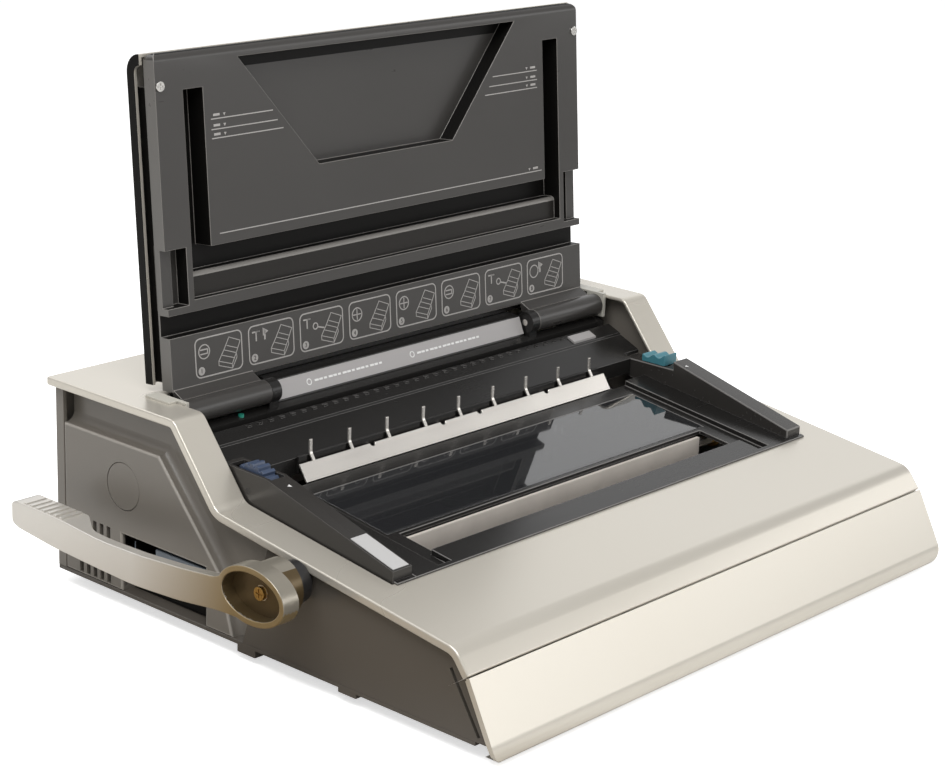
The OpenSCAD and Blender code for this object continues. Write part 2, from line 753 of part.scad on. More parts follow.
module lever_arm() {
    edge = [from_hub(0, 6), from_hub(0, -hub_r + 2), from_hub(30, -17.8), from_hub(66, -22.2),
        from_hub(110, -25), from_end(94, -24.1), from_end(44, -22.1), from_end(7, -18.6), from_end(0, -16),
        from_end(0, -1.5), from_end(6, 0), from_end(54, -0.6), from_end(94, -3.6), from_hub(104, -2.6),
        from_hub(64, 0.4), from_hub(31, 4), from_hub(14, hub_r - 3.5), from_hub(0, 6)];
    soft = [0, 0, 200, 250, 250, 300, 300, 20, 4, 3, 10, 250, 250, 250, 300, 25, 10, 0];
    plan = [[0, lever_y], [arm_t, lever_y], [arm_t, lever_end - grip_end], [lever_t, lever_end - grip_len],
        [lever_t, lever_end + 1], [0, lever_end + 1]];
    color("#b9b6ae") difference() {
        union() {
            hub_shape(-lever_out, -lever_out + hub_face, hub_r);
            pin_x(-lever_out + 1, hub_in, lever_y, lever_z, hub_r - 0.4);
            intersection() {
                along_x(-lever_out, -lever_out + lever_t) polygon(rounded(edge, soft));
                translate([-lever_out, 0, 0]) linear_extrude(big) polygon(rounded(plan, [0, 0, 20, 6, 0, 0]));
            }
            for (i = [0:6]) translate([-lever_out + 1.5, lever_end - 53 + 6.4 * i, lever_z - 4])
                cube([lever_t - 3, 3, 4.6]);
        }
        hub_shape(-lever_out - 1, -lever_out + dish_deep, hub_r - dish_edge);
        pin_x(-lever_out, -side_x, lever_y, lever_z, shaft_r);
    }
}
module lever_screw() {
    dish_x = -lever_out + dish_deep;
    color("#7b6a3c") difference() {
        pin_x(dish_x - 2.8, dish_x, lever_y, lever_z, 4.5);
        box([dish_x - 4, lever_y - 3, lever_z - 0.5], [dish_x - 1.6, lever_y + 3, lever_z + 0.5]);
        box([dish_x - 4, lever_y - 0.5, lever_z - 3], [dish_x - 1.6, lever_y + 0.5, lever_z + 3]);
    }
}
module lever_collar() {
    color("#1b1b1b") difference() {
        union() {
            pin_x(-side_x - collar_w, -half_w - gap, lever_y, lever_z, collar_r);
            pin_x(-half_w - gap - 1, -side_x + wall + 2, lever_y, lever_z, neck_r);
        }
        pin_x(-side_x - collar_w - 1, -side_x + wall + 3, lever_y, lever_z, shaft_r + run);
    }
}
module closing_eccentrics() {
    color("#9b9a97") both() difference() {
        pin_x(ecc_x0, ecc_x1, ecc_y, ecc_z, ecc_r);
        pin_x(ecc_x0 - 1, ecc_x1 + 1, lever_y, lever_z, shaft_r);
    }
}

// Motor punch: a gear turns the drive shaft, whose eccentrics push the pin bar through the throat
pin_first = -(pin_count - 1) / 2 * pin_pitch;
punch_ecc_y = drive_y + punch_throw * sin(drive_swing / 2);
punch_ecc_z = drive_z + punch_throw * cos(drive_swing / 2);
yoke_y0 = punch_ecc_y - drive_ecc_r - yoke_gap;
yoke_y1 = punch_ecc_y + drive_ecc_r + yoke_gap;
yoke_z = drive_z + punch_throw + drive_ecc_r + 2;
frame_leg = 6;
frame_y0 = drawer_y0 - 3 - frame_leg;
frame_y1 = drawer_y1 + 5;
frame_rear = drive_y + 39;
frame_top = rear_h - 29;
motor_hole = 8;
module frame_plate(motor) {
    along_x(frame_x, frame_x + frame_t) difference() {
        polygon([[frame_y0, floor_z], [frame_y0 + frame_leg, floor_z], [frame_y0 + frame_leg, drawer_z1 + 2],
            [frame_y1, drawer_z1 + 2], [frame_y1, floor_z], [frame_rear, floor_z], [frame_rear, frame_top],
            [guide_y1 + 7, frame_top], [guide_y1 + 4, plate_z1], [die_y0 - 3, plate_z1 - 0.5],
            [drawer_y0 + 3, plate_z1 - 20], [frame_y0, plate_z1 - 23]]);
        translate([drive_y, drive_z]) circle(drive_r + run);
        translate([bar_front - punch_stroke - 1, punch_z - tongue_half - gap])
            square([bar_back - bar_front + punch_stroke + 2, 2 * (tongue_half + gap)]);
        if (motor) translate([motor_y, motor_z]) circle(motor_hole);
    }
}
module left_frame() {
    color("#9b9a97") mirror([1, 0, 0]) frame_plate(false);
}
module right_frame() {
    color("#9b9a97") frame_plate(true);
}
module pin_row(y0, y1, r) {
    for (i = [0:pin_count - 1]) pin_y(y0, y1, pin_first + i * pin_pitch, punch_z, r, $fn = 24);
}
module punch_die() {
    color("#a9a8a5") difference() {
        union() {
            box([-frame_x, die_y0, plate_z0], [frame_x, slot_y0, plate_z1]);
            box([-frame_x, die_y0, plate_z0 - 4], [frame_x, slot_y1 - gap, plate_z0]);
        }
        pin_row(die_y0 - 1, slot_y0 + 1, pin_d / 2 + 0.1);
    }
}
module punch_guide() {
    color("#a9a8a5") difference() {
        box([-frame_x, slot_y1, plate_z0], [frame_x, guide_y1, plate_z1]);
        pin_row(slot_y1 - 1, guide_y1 + 1, pin_d / 2 + run);
    }
}
module punch_bar() {
    color("#b5b4b0") {
        box([-frame_x + 2, bar_front, punch_z - bar_half], [frame_x - 2, bar_back, punch_z + bar_half]);
        box([-frame_x - frame_t - 1, bar_front, punch_z - tongue_half],
            [frame_x + frame_t + 1, bar_back, punch_z + tongue_half]);
        both() {
            box([yoke_x0, bar_back - 1, punch_z - 8], [yoke_x1, yoke_y0, yoke_z + 4]);
            box([yoke_x0, bar_back - 1, yoke_z], [yoke_x1, yoke_y1 + 4, yoke_z + 4]);
            box([yoke_x0, yoke_y1, punch_z - 8], [yoke_x1, yoke_y1 + 4, yoke_z + 4]);
        }
    }
}
module punch_pins() {
    color("#d9d8d4") pin_row(slot_y1 + 2, bar_front, pin_d / 2);
}
module drive_shaft() {
    color("#c9c8c4") pin_x(-frame_x - frame_t - 2, gear_x1 + 2, drive_y, drive_z, drive_r);
}
module drive_eccentrics() {
    color("#9b9a97") both() difference() {
        pin_x(yoke_x0 + 1, yoke_x1 - 1, punch_ecc_y, punch_ecc_z, drive_ecc_r);
        pin_x(yoke_x0, yoke_x1, drive_y, drive_z, drive_r);
    }
}
function on_circle(r, a) = r * [cos(a), sin(a)];
function roll(r, rb) = r <= rb ? 0 : sqrt(r * r / rb / rb - 1);
function flank(r, n) = let (rp = gear_m * n / 2, rb = rp * cos(press), t = roll(r, rb), q = roll(rp, rb))
    90 / n - lash / 2 / rp * 180 / PI + (q - t) * 180 / PI - atan(q) + atan(t);
function gear_outline(n, a0) = let (rp = gear_m * n / 2, root = rp - 1.15 * gear_m, tip = rp + 0.8 * gear_m,
    rs = [for (k = [0:4]) root + (tip - root) * k / 4])
    [for (i = [0:n - 1]) each concat(
        [for (r = rs) on_circle(r, a0 + i * 360 / n - flank(r, n))],
        [for (r = turned(rs)) on_circle(r, a0 + i * 360 / n + flank(r, n))])];
module drive_gear() {
    color("#d8d3c4") along_x(gear_x0, gear_x1) translate([drive_y, drive_z]) difference() {
        polygon(gear_outline(gear_n, mesh_deg));
        circle(drive_r);
    }
}
module motor_pinion() {
    color("#b08d4a") {
        along_x(gear_x0, gear_x1) translate([motor_y, motor_z])
            polygon(gear_outline(pinion_n, mesh_deg + 180 + 180 / pinion_n));
        pin_x(frame_x - 12, gear_x1 + 1, motor_y, motor_z, 3);
    }
}
module motor() {
    color("#6f7074") difference() {
        pin_x(frame_x - motor_len, frame_x, motor_y, motor_z, motor_r);
        pin_x(frame_x - 13, frame_x + 1, motor_y, motor_z, 3 + run);
    }
}

// Mains inlet, switch and chip drawer
module power_inlet() {
    color("#1b1b1b") {
        difference() {
            union() {
                box([inlet_x - inlet_hw - 2, back_y1, inlet_z - inlet_hh - 2],
                    [inlet_x + inlet_hw + 2, back_y1 + 1.5, inlet_z + inlet_hh + 2]);
                box([inlet_x - inlet_hw + gap, back_y1 - inlet_deep - 4, inlet_z - inlet_hh + gap],
                    [inlet_x + inlet_hw - gap, back_y1, inlet_z + inlet_hh - gap]);
            }
            box([inlet_x - inlet_hw + 2.5, back_y1 - inlet_deep, inlet_z - inlet_hh + 2.5],
                [inlet_x + inlet_hw - 2.5, back_y1 + 2, inlet_z + inlet_hh - 2.5]);
        }
        for (p = [[-6, -2], [0, 2], [6, -2]])
            translate([inlet_x + p[0] - 1, back_y1 - inlet_deep - 1, inlet_z + p[1] - 2]) cube([2, 11, 4]);
    }
}
module power_switch() {
    color("#1b1b1b") {
        intersection() {
            pin_x(switch_x - 6.6, switch_x + 6.6, switch_y, inlet_z, switch_r);
            box([switch_x - 7, switch_y - 5, inlet_z - 12], [switch_x + 7, switch_y + 12, inlet_z + 12]);
        }
        pin_x(switch_x - 9, switch_x + 9, switch_y, inlet_z, 2);
    }
}
module chip_drawer() {
    color("#7f8a94") difference() {
        box([drawer_x0, drawer_y0, drawer_z0], [drawer_x1, drawer_y1, drawer_z1]);
        difference() {
            box([drawer_x0 + wall, drawer_y0 + drawer_wall, drawer_z0 + drawer_wall],
                [drawer_x1 - drawer_wall, drawer_y1 - drawer_wall, big]);
            box([drawer_x0, pull_y - drawer_wall, 0], [drawer_x0 + pull_deep + drawer_wall, drawer_y1, big]);
        }
        box([drawer_x0 - 1, pull_y, drawer_z0 + drawer_wall],
            [drawer_x0 + pull_deep, drawer_y1 - drawer_wall, big]);
    }
}
module drawer_runners() {
    color("#3a3835") for (y = [drawer_y0 - gap - runner_t, drawer_y1 + gap])
        box([-side_x + channel_x + 3, y, floor_z], [frame_x - 2, y + runner_t, floor_z + runner_h]);
}

// Lid: a silver cover behind a dark tray with a U-shaped channel and a grip recess
channel_out = tray_x - 23.6;
channel_in = channel_out - 17;
step_low = 61;
step_deep = 6;
channel_low = 78;
channel_high = 94.6;
channel_top = 201;
channel_deep = 16;
cup_t = 2.5;
grip = [[-68, 137], [68, 137], [139, lid_h - 4], [-139, lid_h - 4]];
grip_deep = 13;
groove_low = 38;
groove_high = 53;
notch_low = 58;
notch_high = 97;
notch_x = channel_out + 5;
groove_deep = 9;
notch_deep = 5.5;
notch_hole = 9;
hole_deep = 11;
barrel_x0 = knuckle_x1 + gap;
barrel_x1 = cap_x0 - gap;
module lid_cover() {
    path = rounded([[lid_low, -lid_t], [lid_end, -lid_t], [lid_end, -tray_t - gap]], [0, 12.5, 0]);
    color("#cfcabb") on_lid() {
        along_x(-lid_x, lid_x) polygon(sheet(path, 2.5));
        both() along_x(lid_x - 2.5, lid_x) polygon(sheet(path, 7.5));
    }
}
module ring(x, v0, v1, n0, n1, t) {
    difference() {
        box([-x, v0, n0], [x, v1, n1]);
        box([-x + t, v0 + t, n0 - 1], [x - t, v1 - t, n1 + 1]);
    }
}
module channel(grow, deep) {
    translate([0, 0, -deep]) linear_extrude(deep + 1) polygon([[-channel_out - grow, channel_low - grow],
        [channel_out + grow, channel_low - grow], [channel_out + grow, channel_top + grow],
        [channel_in - grow, channel_top + grow], [channel_in - grow, channel_high + grow],
        [-channel_in + grow, channel_high + grow], [-channel_in + grow, channel_top + grow],
        [-channel_out - grow, channel_top + grow]]);
}
module grip_recess(grow, deep) {
    translate([0, 0, -deep]) linear_extrude(deep + 1) polygon(inset(grip, -grow));
}
module lid_tray() {
    face_t = 3;
    back = lid_t - 2.5 - gap;
    web = [[hinge_y + 2, hinge_z + 7], [lid_y + 0.7, lid_z + 3], [lid_y + 2.6, lid_z + 2.2],
        [hinge_y + 7.6, hinge_z - 2]];
    color("#4b4947") difference() {
        union() {
            on_lid() difference() {
                union() {
                    box([-tray_x, 1.5, -face_t], [tray_x, lid_end, 0]);
                    ring(tray_x, 1.5, lid_end, -tray_t, 0, 3);
                    ring(tray_x - 3, lid_low + 1, lid_h - 18, -back, -tray_t + 3, 3);
                    intersection() {
                        channel(cup_t, channel_deep + cup_t);
                        box([-big, 0, -big], [big, lid_h, 0]);
                    }
                    intersection() {
                        grip_recess(cup_t, grip_deep + cup_t);
                        box([-big, 0, -big], [big, lid_h - 1, 0]);
                    }
                    box([-channel_out - cup_t, step_low - cup_t, -step_deep - cup_t],
                        [channel_out + cup_t, channel_low + cup_t, 0]);
                    box([-tray_x + 2, groove_low - cup_t, -groove_deep - cup_t],
                        [tray_x - 2, groove_high + cup_t, 0]);
                    both() box([notch_x - cup_t, notch_low - cup_t, -hole_deep - cup_t],
                        [tray_x - 2, notch_high + cup_t, 0]);
                }
                channel(0, channel_deep);
                grip_recess(0, grip_deep);
                box([-channel_out, step_low, -step_deep], [channel_out, channel_low + 1, 1]);
                box([-tray_x - 1, groove_low, -groove_deep], [tray_x + 1, groove_high, 1]);
                both() {
                    box([notch_x, notch_low, -notch_deep], [tray_x + 1, notch_high, 1]);
                    box([notch_x, notch_low, -hole_deep], [notch_x + notch_hole, notch_high, 1]);
                }
            }
            both() pin_x(barrel_x0, barrel_x1, hinge_y, hinge_z, barrel_r);
            both() along_x(barrel_x0, tray_x - 1) polygon(web);
        }
        both() pin_x(barrel_x0 - 1, barrel_x1 + 1, hinge_y, hinge_z, pin_r + run);
    }
}
module lid_screws() {
    color("#c9c8c4") on_lid() both() translate([tray_x - 4, lid_h - 17, 0]) difference() {
        cylinder(h = 1.2, r = 3.4);
        translate([-2.4, -0.4, 0.6]) cube([4.8, 0.8, 1]);
        translate([-0.4, -2.4, 0.6]) cube([0.8, 4.8, 1]);
    }
}

place() base_pan();
place() rubber_feet();
place() base_screws();
place() top_shell();
place() front_panel();
place() rear_cover();
place() left_side();
place() right_side();
place() left_front_side();
place() right_front_side();
place() side_caps();
place() deck();
place() left_rail();
place() right_rail();
place() rail_label();
place() window();
place() hook_plate();
place() hook_bar();
place() wire_hooks();
place() punch_cover();
place() throat_wall();
place() label_plate();
place() hinge_caps();
place() hinge_pins();
place() fixed_jaw();
place() closing_jaw();
place() left_bracket();
place() right_bracket();
place() guide_rods();
place() shaft_bushes();
place() inner_tray();
place() control_board();
place() lever_shaft();
place() lever_arm();
place() lever_screw();
place() lever_collar();
place() closing_eccentrics();
place() size_wheel();
place() wheel_axle();
place() slide_button();
place() left_frame();
place() right_frame();
place() punch_die();
place() punch_guide();
place() punch_bar();
place() punch_pins();
place() drive_shaft();
place() drive_eccentrics();
place() drive_gear();
place() motor_pinion();
place() motor();
place() status_light();
place() punch_button();
place() power_inlet();
place() power_switch();
place() chip_drawer();
place() drawer_runners();
place() lid_cover();
place() lid_tray();
place() lid_screws();
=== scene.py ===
# %% [markdown]
# # A wire binding machine, dressed
#
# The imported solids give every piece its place. This script gives the pieces their finish: rounded
# mould edges, paint, steel and smoked plastic, and the small printed marks on the lid. Each step
# says what the real piece is and why it is made this way.

# %% Load the frame
import json
from math import atan2, cos, radians, sin

import bmesh
import bpy
from mathutils import Matrix, Vector


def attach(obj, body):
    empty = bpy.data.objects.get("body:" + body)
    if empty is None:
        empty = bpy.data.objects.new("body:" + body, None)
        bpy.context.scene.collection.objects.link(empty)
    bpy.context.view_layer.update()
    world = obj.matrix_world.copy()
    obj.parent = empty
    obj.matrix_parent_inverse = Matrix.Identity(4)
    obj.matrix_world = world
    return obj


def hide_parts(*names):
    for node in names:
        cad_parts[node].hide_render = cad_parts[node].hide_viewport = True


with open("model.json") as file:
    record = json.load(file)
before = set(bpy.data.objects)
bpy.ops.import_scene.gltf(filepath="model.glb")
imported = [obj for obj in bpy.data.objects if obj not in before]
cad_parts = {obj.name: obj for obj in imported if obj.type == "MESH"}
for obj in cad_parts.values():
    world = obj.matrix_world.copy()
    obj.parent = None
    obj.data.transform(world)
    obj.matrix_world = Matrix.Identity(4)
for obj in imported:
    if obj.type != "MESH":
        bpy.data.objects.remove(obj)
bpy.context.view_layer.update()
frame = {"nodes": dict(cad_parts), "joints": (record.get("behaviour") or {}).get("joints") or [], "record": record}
joints = {joint["name"]: joint for joint in frame["joints"]}

# %% [markdown]
# ## Places
#
# The machine is described in millimetres from its own middle plane, with Y counted from just
# behind the lever's axis. The lid has a flat frame of its own: X across, Y up from the hinge edge
# and Z out of its face. Both frames are found from joints, so the marks follow the solids.

# %% Machine and lid frames
MM = 0.001
LEVER = Vector(joints["lever_turn"]["pos_m"])
HINGE = Vector(joints["lid_hinge"]["pos_m"])
LEVER_Y = -24
LID_LEAN = 4.6
LID_OFFSET = Vector((0, 12.1, 9.5)) * MM
LID = Matrix.Translation(HINGE + LID_OFFSET) @ Matrix.Rotation(radians(90 - LID_LEAN), 4, "X")


def at(x, y, z):
    """A point of the machine, in metres, from millimetres in its own frame."""
    return Vector((LEVER.x + x * MM, LEVER.y + (y - LEVER_Y) * MM, z * MM))


print("lever axis", LEVER, "lid hinge", HINGE)

# %% [markdown]
# ## Camera
#
# The picture was taken with a long lens from the machine's left front corner, a little above it,
# and with a slight roll. A camera's own X, Y and Z axes are built from its azimuth, elevation and
# roll, which is easier to read than three Euler angles.

# %% Camera
LENS, SENSOR, CLIP_END = 89.48, 36, 60
CAMERA_AT = (-1190.09, -1011.89, 618.83)
AZIMUTH, ELEVATION, ROLL = -48.13, 16.94, 1.94


def camera_axes(azimuth, elevation, roll):
    a, e, k = radians(azimuth), radians(elevation), radians(roll)
    back = Vector((sin(a) * cos(e), -cos(a) * cos(e), sin(e)))
    right = Vector((cos(a), sin(a), 0))
    up = back.cross(right)
    return cos(k) * right + sin(k) * up, cos(k) * up - sin(k) * right, back


camera = bpy.data.objects.new("camera", bpy.data.cameras.new("camera"))
camera.data.lens = LENS
camera.data.sensor_width = SENSOR
camera.data.clip_end = CLIP_END
camera.matrix_world = Matrix.Translation(at(*CAMERA_AT)) @ Matrix(
    camera_axes(AZIMUTH, ELEVATION, ROLL)).transposed().to_4x4()
bpy.context.scene.collection.objects.link(camera)
bpy.context.scene.camera = camera
print("camera at", camera.matrix_world.translation)

# %% [markdown]
# ## Shader maths
#
# A material is a graph of nodes. Written out link by link it is hard to read, so one small class
# wraps a socket: arithmetic on it adds Math nodes, and its node method makes any other node.

# %% Strands


class Strand:
    """One socket of a node tree, with Python's own arithmetic."""

    def __init__(self, socket):
        self.socket = socket

    def node(self, kind, settings, sockets, out=0):
        """A node of this kind: its settings first, then the values or links of its sockets."""
        tree = self.socket.id_data
        made = tree.nodes.new("ShaderNode" + kind)
        for name, value in settings.items():
            if name == "stops":
                for stop, (place, grey) in zip(made.color_ramp.elements, value):
                    stop.position = place
                    stop.color = (grey, grey, grey, 1)
            else:
                setattr(made, name, value)
        for name, value in sockets.items():
            join(made.inputs[name], value)
        return Strand(made.outputs[out])

    def maths(self, operation, first, second):
        return self.node("Math", {"operation": operation}, {0: first, 1: second})

    def __add__(self, other):
        return self.maths("ADD", self, other)

    __radd__ = __add__

    def __sub__(self, other):
        return self.maths("SUBTRACT", self, other)

    def __rsub__(self, other):
        return self.maths("SUBTRACT", other, self)

    def __mul__(self, other):
        return self.maths("MULTIPLY", self, other)

    __rmul__ = __mul__


def join(socket, value):
    """Links a strand to a socket, or sets the socket's own value."""
    if isinstance(value, Strand):
        socket.id_data.links.new(value.socket, socket)
    else:
        socket.default_value = value


def noise(place, scale, detail):
    return place.node("TexNoise", {}, {"Vector": place, "Scale": scale, "Detail": detail})


def stretched(place, scale):
    """Object coordinates drawn out or squeezed along each axis, for brushed and drawn metal."""
    return place.node("Mapping", {}, {"Vector": place, "Scale": scale})


def ramp(value, low, high):
    return value.node("ValToRGB", {"stops": [(low, 0), (high, 1)]}, {0: value})


def mixed(factor, first, second):
    return factor.node("Mix", {"data_type": "RGBA"}, {0: factor, 6: first, 7: second}, out=2)


def bump(height, depth):
    return height.node("Bump", {}, {"Height": height, "Distance": depth, "Strength": 1.0})


def blank(name):
    """A new material, its shader and its object coordinates."""
    material = bpy.data.materials.new(name)
    material.use_nodes = True
    tree = material.node_tree
    place = Strand(tree.nodes.new("ShaderNodeTexCoord").outputs["Object"])
    return material, tree.nodes["Principled BSDF"], place


def feed(shader, **sockets):
    for name, value in sockets.items():
        join(shader.inputs[name.replace("_", " ")], value)


def colour(red, green, blue):
    """A shader colour from the red, green and blue of a picture, 0 to 255."""
    def linear(c):
        c = c / 255
        return c / 12.92 if c <= 0.04045 else ((c + 0.055) / 1.055) ** 2.4
    return (linear(red), linear(green), linear(blue), 1)


def shaded(base, share):
    """The same colour, darker below a share of one and lighter above it."""
    return tuple(c * share for c in base[:3]) + (1,)


print("shader helpers ready")

# %% [markdown]
# ## Moulded plastics
#
# Nearly all of the machine is moulded plastic. A moulding has a fine etched grain, and its gloss
# changes slowly over the part where the melt flowed and where hands have touched it. One function
# makes all of them: a slow cloud shifts colour and gloss, and a fine noise gives the grain.

# %% Plastics


def moulded(name, base, spread, roughness, grain=0.7, depth=0.012, shine=0.5):
    """Plastic of this colour: spread is how far its colour wanders, grain and depth are in mm."""
    material, shader, place = blank(name)
    cloud = noise(place, 7, 3)
    etch = noise(place, 1 / (grain * MM), 1)
    scuff = noise(stretched(place, (40, 260, 260)), 1, 4)
    feed(shader, Base_Color=mixed(cloud, shaded(base, 1 - spread), shaded(base, 1 + spread)),
         Roughness=roughness + 0.10 * (cloud - 0.5) + 0.06 * (scuff - 0.5),
         Normal=bump(etch, depth * MM), Specular_IOR_Level=shine)
    return material


plastics = {
    "side_grey": moulded("side_grey", colour(112, 107, 100), 0.04, 0.30, depth=0.005),
    "front_grey": moulded("front_grey", colour(83, 78, 72), 0.05, 0.24, depth=0.006),
    "deck_black": moulded("deck_black", colour(30, 29, 28), 0.08, 0.26, depth=0.008, shine=0.38),
    "lid_grey": moulded("lid_grey", colour(57, 55, 53), 0.05, 0.30, grain=0.9, depth=0.002),
    "cap_grey": moulded("cap_grey", colour(178, 175, 166), 0.04, 0.35),
    "label_grey": moulded("label_grey", colour(152, 149, 148), 0.03, 0.45, depth=0.004),
    "rail_grey": moulded("rail_grey", colour(214, 213, 212), 0.02, 0.40, depth=0.004),
    "wheel_blue": moulded("wheel_blue", colour(58, 70, 92), 0.08, 0.35),
    "teal": moulded("teal", colour(66, 122, 134), 0.06, 0.32),
    "nylon": moulded("nylon", colour(214, 208, 192), 0.04, 0.45),
    "button_grey": moulded("button_grey", colour(150, 147, 146), 0.04, 0.40),
    "black_plastic": moulded("black_plastic", colour(34, 33, 33), 0.10, 0.38),
    "drawer_grey": moulded("drawer_grey", colour(122, 132, 143), 0.05, 0.38),
    "print": moulded("print", colour(160, 157, 154), 0.05, 0.50, depth=0.004),
    "rubber": moulded("rubber", colour(30, 30, 30), 0.12, 0.75, grain=1.2, depth=0.05),
    "rail_dark": moulded("rail_dark", colour(48, 46, 44), 0.06, 0.26, depth=0.008, shine=0.4),
    # The three edge finishes are lighter than their pieces: painted highlights on rounded edges.
    "lid_edge": moulded("lid_edge", colour(118, 115, 111), 0.05, 0.24, depth=0.006),
    "deck_edge": moulded("deck_edge", colour(104, 102, 100), 0.05, 0.20, depth=0.004),
    "side_edge": moulded("side_edge", colour(146, 141, 134), 0.04, 0.20, depth=0.003),
    # The flank finish is a painted sheen: the lid's narrow sides drawn lighter.
    "strip_side": moulded("strip_side", colour(98, 96, 93), 0.05, 0.30, depth=0.006),
    # The recess finish is painted shade for slots, pockets and shaded sides.
    "recess_black": moulded("recess_black", colour(18, 17, 16), 0.10, 0.40, depth=0.006, shine=0.1),
    # The step finish is painted shade for the recessed step below the lid's trough.
    "step_dark": moulded("step_dark", colour(38, 36, 34), 0.06, 0.34, depth=0.004, shine=0.2),
    "rail_plate": moulded("rail_plate", colour(178, 177, 176), 0.02, 0.40, depth=0.004),
    "board_green": moulded("board_green", colour(40, 96, 52), 0.25, 0.35, grain=2.4, depth=0.1),
}
print(len(plastics), "plastics")

# %% [markdown]
# ## Silver paint
#
# The top cover, the front and the lid's back are sprayed a warm silver. Metal flakes lie in the
# paint under a clear coat, so it is part metal, part pigment. A fine noise shifts the colour of the
# flakes by very little, and a slow cloud keeps the large faces from looking ruled.

# %% Paint


def flake_paint(name, base, shade):
    material, shader, place = blank(name)
    cloud = noise(place, 5, 2)
    flake = noise(place, 900, 1)
    feed(shader, Base_Color=mixed(0.9 * cloud + 0.1 * flake, shade, base), Metallic=0.50,
         Roughness=0.28 + 0.04 * (cloud - 0.5), Coat_Weight=0.12, Coat_Roughness=0.12)
    return material


def lever_paint(name, grip, hub):
    """The lever's paint is lighter at the grip and darker and bronze at the hub: painted light, painted shade and
    a painted brown reflection of the floor.
    """
    material, shader, place = blank(name)
    along = place.node("SeparateXYZ", {}, {0: place}, out="Y")
    cloud = noise(place, 12, 2)
    reach = ramp((along - LEVER.y) * 3.6 + 0.06 * (cloud - 0.5), 0.06, 0.40)
    feed(shader, Base_Color=mixed(reach, hub, grip), Metallic=0.55,
         Roughness=0.30 + 0.06 * (cloud - 0.5), Coat_Weight=0.12, Coat_Roughness=0.12)
    return material


paints = {
    "silver": flake_paint("silver", colour(206, 201, 191), colour(200, 194, 182)),
    # The lever colours carry painted light: lighter at the grip, with painted shade and a painted brown reflection
    # at the hub.
    "lever_silver": lever_paint("lever_silver", colour(210, 206, 199), colour(146, 127, 92)),
    "lever_side": lever_paint("lever_side", colour(206, 202, 195), colour(150, 144, 132)),
    "lever_dish_painted_shade": lever_paint("lever_dish_painted_shade", colour(150, 132, 100), colour(92, 77, 52)),
}
print(len(paints), "paints")

# %% [markdown]
# ## Metals
#
# The hook strip and the closing jaw are bright rolled steel; the hidden frames are plated sheet.
# Rolling leaves long faint lines, so the noise is drawn out along X. Screws are turned and plated,
# and the bushes are sintered bronze.

# %% Metals


def rolled(name, base, roughness, depth, metal=1.0):
    material, shader, place = blank(name)
    lines = noise(stretched(place, (6, 900, 900)), 1, 3)
    cloud = noise(place, 18, 3)
    feed(shader, Base_Color=mixed(cloud, shaded(base, 0.86), base), Metallic=metal,
         Roughness=roughness + 0.10 * (lines - 0.5) + 0.06 * (cloud - 0.5),
         Normal=bump(lines, depth * MM))
    return material


def turned(name, base, roughness):
    material, shader, place = blank(name)
    spots = noise(place, 420, 3)
    feed(shader, Base_Color=mixed(spots, shaded(base, 0.72), base), Metallic=1.0,
         Roughness=roughness + 0.14 * (spots - 0.5), Normal=bump(spots, 0.01 * MM))
    return material


def plated(name, base, roughness):
    """Dull zinc plate: it scatters light as well as mirroring it."""
    material, shader, place = blank(name)
    bloom = noise(place, 60, 4)
    feed(shader, Base_Color=mixed(bloom, shaded(base, 0.8), base), Metallic=0.25,
         Roughness=roughness + 0.12 * (bloom - 0.5), Normal=bump(bloom, 0.02 * MM))
    return material


metals = {
    "zinc": plated("zinc", colour(222, 214, 205), 0.45),
    "steel": rolled("steel", colour(242, 237, 230), 0.22, 0.004, metal=0.82),
    "plate_steel": rolled("plate_steel", colour(196, 195, 192), 0.34, 0.01),
    "screw_steel": turned("screw_steel", colour(226, 224, 220), 0.22),
    "bronze": turned("bronze", colour(196, 158, 92), 0.40),
    "motor_can": turned("motor_can", colour(120, 121, 124), 0.45),
}
print(len(metals), "metals")

# %% [markdown]
# ## Clear pieces
#
# The window over the tray is smoked plastic: nearly black from above, and a mirror at a low angle,
# where it doubles the hooks. It lets some light through, so the board below shows faintly. The
# status light is a small green lens with a faint painted glow.

# %% Window and lens


def smoked(name, tint):
    material, shader, place = blank(name)
    haze = noise(place, 30, 4)
    feed(shader, Base_Color=tint, Roughness=0.015 + 0.03 * haze, IOR=1.75, Transmission_Weight=0.85)
    return material


def lens(name, tint):
    material, shader, place = blank(name)
    cloud = noise(place, 300, 2)
    # The faint emission is a painted glow.
    feed(shader, Base_Color=tint, Roughness=0.10 + 0.1 * cloud, Emission_Color=tint,
         Emission_Strength=0.35, Coat_Weight=0.6)
    return material


clears = {
    "smoked": smoked("smoked", colour(96, 97, 100)),
    "lens_green": lens("lens_green", colour(34, 112, 96)),
}
finishes = {**plastics, **paints, **metals, **clears}
slot_of = {part["node"]: part["material_slot"] for part in frame["record"]["subparts"]}
finish_of = {**slot_of, "closing_jaw": "zinc", "left_rail": "rail_dark", "right_rail": "rail_dark",
             "wheel_axle": "black_plastic", "rail_label": "rail_plate",
             "lever_screw": "bronze"}
for node, solid in frame["nodes"].items():
    solid.data.materials.clear()
    solid.data.materials.append(finishes[finish_of[node]])
print(len(slot_of), "solids have a finish")

# %% [markdown]
# ## Soft edges
#
# A solid's edges are perfectly sharp, but no moulding's are: a rounded edge is what catches the light.
# A copy of the solid's mesh is welded, its flat faces are made whole again, and every edge that
# turns by more than a few degrees is bevelled. On many pieces the new rounded faces are given a
# lighter finish, a painted highlight. The copy then stands for the solid.

# %% Bevelled copies


